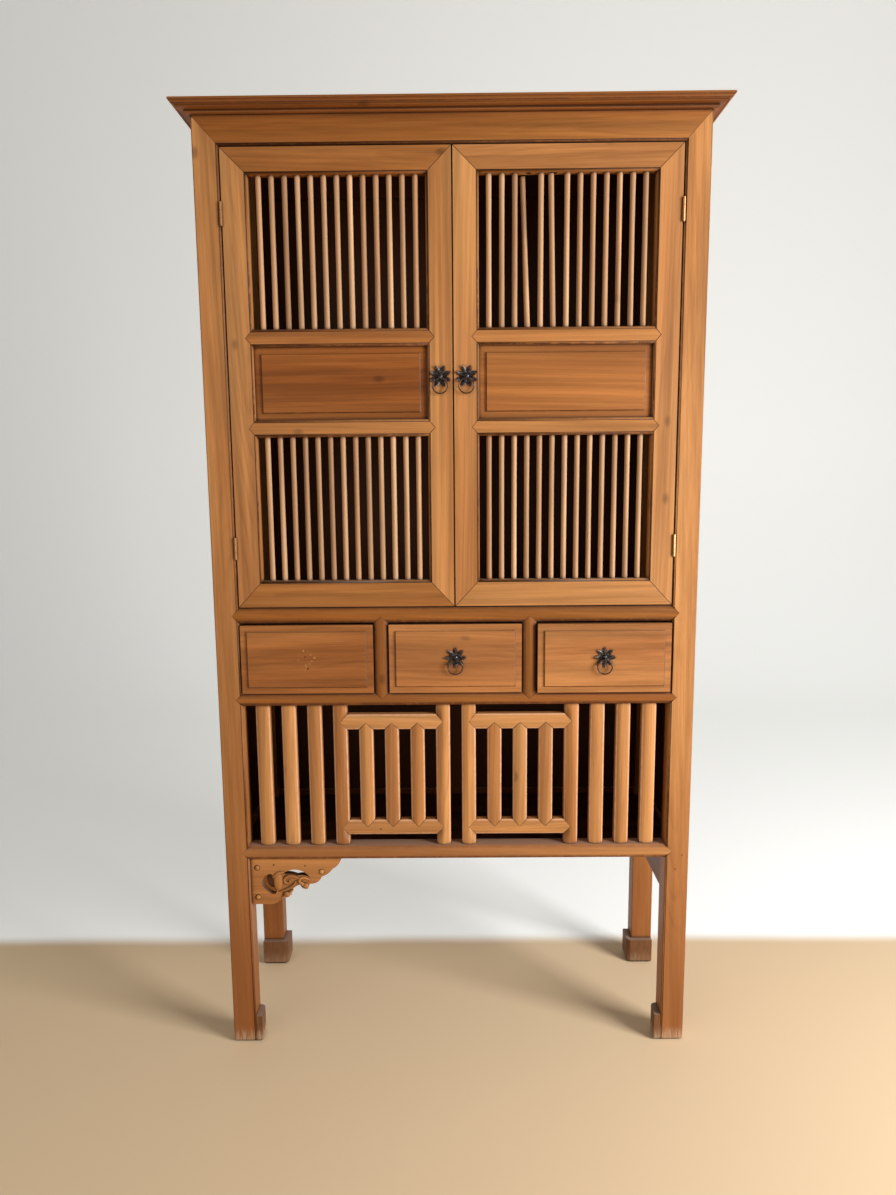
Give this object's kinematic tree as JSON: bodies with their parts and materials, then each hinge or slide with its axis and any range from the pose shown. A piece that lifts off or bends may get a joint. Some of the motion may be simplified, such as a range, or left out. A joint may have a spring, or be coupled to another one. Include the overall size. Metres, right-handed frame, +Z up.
{
  "type": "book cabinet",
  "caption": "Tall wooden post-and-rail cabinet with two hinged slatted doors, a row of drawers and an open lattice base.",
  "frame": {"origin": "on the floor under the centre of the bounding box", "axes": "+X to the viewer's right, the front faces -Y, +Z up"},
  "size_m": [1.034, 0.388, 1.9],
  "materials": {
    "frame_wood": "waxed elm, worn",
    "panel_wood": "waxed elm with open grain",
    "inner_wood": "bare softwood, dusty",
    "iron_pull": "blackened",
    "hinge_brass": "dull"
  },
  "bodies": {
    "case": {"front_left_post": "frame_wood", "front_right_post": "frame_wood", "back_left_post": "frame_wood", "back_right_post": "frame_wood", "frieze_rail": "frame_wood", "lower_front_rail": "frame_wood", "middle_front_rail": "frame_wood", "upper_front_rail": "frame_wood", "left_side_rails": "frame_wood", "right_side_rails": "frame_wood", "left_side_panels": "panel_wood", "right_side_panels": "panel_wood", "back_rails": "inner_wood", "back_muntins": "inner_wood", "back_panels": "inner_wood", "lower_floor": "inner_wood", "cupboard_floor": "inner_wood", "cupboard_shelf": "inner_wood", "shelf_bearers": "inner_wood", "drawer_dividers": "frame_wood", "drawer_runners": "inner_wood", "door_stop": "inner_wood", "top_frame_front": "frame_wood", "top_frame_back": "frame_wood", "top_frame_ends": "frame_wood", "top_panel": "panel_wood", "carved_spandrel": "frame_wood", "spandrel_pegs": "frame_wood", "side_aprons": "frame_wood", "lattice_long_bars": "frame_wood", "lattice_cross_rails": "frame_wood", "lattice_short_bars": "frame_wood", "hinge_frame_leaves": "hinge_brass", "hinge_pins": "hinge_brass"},
    "left_door": {"left_door_stiles": "frame_wood", "left_door_end_rails": "frame_wood", "left_door_mid_rails": "frame_wood", "left_door_panel": "panel_wood", "left_door_dowels": "frame_wood", "left_door_hinge_leaves": "hinge_brass", "left_door_rosette": "iron_pull"},
    "right_door": {"right_door_stiles": "frame_wood", "right_door_end_rails": "frame_wood", "right_door_mid_rails": "frame_wood", "right_door_panel": "panel_wood", "right_door_dowels": "frame_wood", "right_door_hinge_leaves": "hinge_brass", "right_door_rosette": "iron_pull"},
    "left_drawer": {"left_drawer_front": "frame_wood", "left_drawer_box": "inner_wood"},
    "middle_drawer": {"middle_drawer_front": "frame_wood", "middle_drawer_box": "inner_wood", "middle_drawer_rosette": "iron_pull"},
    "right_drawer": {"right_drawer_front": "frame_wood", "right_drawer_box": "inner_wood", "right_drawer_rosette": "iron_pull"},
    "left_door_ring": {"left_door_ring": "iron_pull"},
    "right_door_ring": {"right_door_ring": "iron_pull"},
    "middle_drawer_ring": {"middle_drawer_ring": "iron_pull"},
    "right_drawer_ring": {"right_drawer_ring": "iron_pull"}
  },
  "joints": [
    {"name": "left_door_hinge", "type": "hinge", "parent": "case", "child": "left_door", "pos_m": [-0.435, -0.1635, 1.389], "axis": [0, 0, -1], "range_deg": [0, 170]},
    {"name": "right_door_hinge", "type": "hinge", "parent": "case", "child": "right_door", "pos_m": [0.435, -0.1635, 1.389], "axis": [0, 0, 1], "range_deg": [0, 170]},
    {"name": "left_drawer_slide", "type": "slide", "parent": "case", "child": "left_drawer", "axis": [0, -1, 0], "range_m": [0, 0.23]},
    {"name": "middle_drawer_slide", "type": "slide", "parent": "case", "child": "middle_drawer", "axis": [0, -1, 0], "range_m": [0, 0.23]},
    {"name": "right_drawer_slide", "type": "slide", "parent": "case", "child": "right_drawer", "axis": [0, -1, 0], "range_m": [-0.006, 0.224]},
    {"name": "left_door_ring_swing", "type": "hinge", "parent": "left_door", "child": "left_door_ring", "pos_m": [-0.0255, -0.169, 1.4], "axis": [-1, 0, 0], "range_deg": [-6, 110]},
    {"name": "right_door_ring_swing", "type": "hinge", "parent": "right_door", "child": "right_door_ring", "pos_m": [0.0255, -0.169, 1.4], "axis": [-1, 0, 0], "range_deg": [-6, 110]},
    {"name": "middle_drawer_ring_swing", "type": "hinge", "parent": "middle_drawer", "child": "middle_drawer_ring", "pos_m": [0, -0.173, 0.84565], "axis": [-1, 0, 0], "range_deg": [-6, 110]},
    {"name": "right_drawer_ring_swing", "type": "hinge", "parent": "right_drawer", "child": "right_drawer_ring", "pos_m": [0.30033, -0.179, 0.84565], "axis": [-1, 0, 0], "range_deg": [-6, 110]}
  ]
}
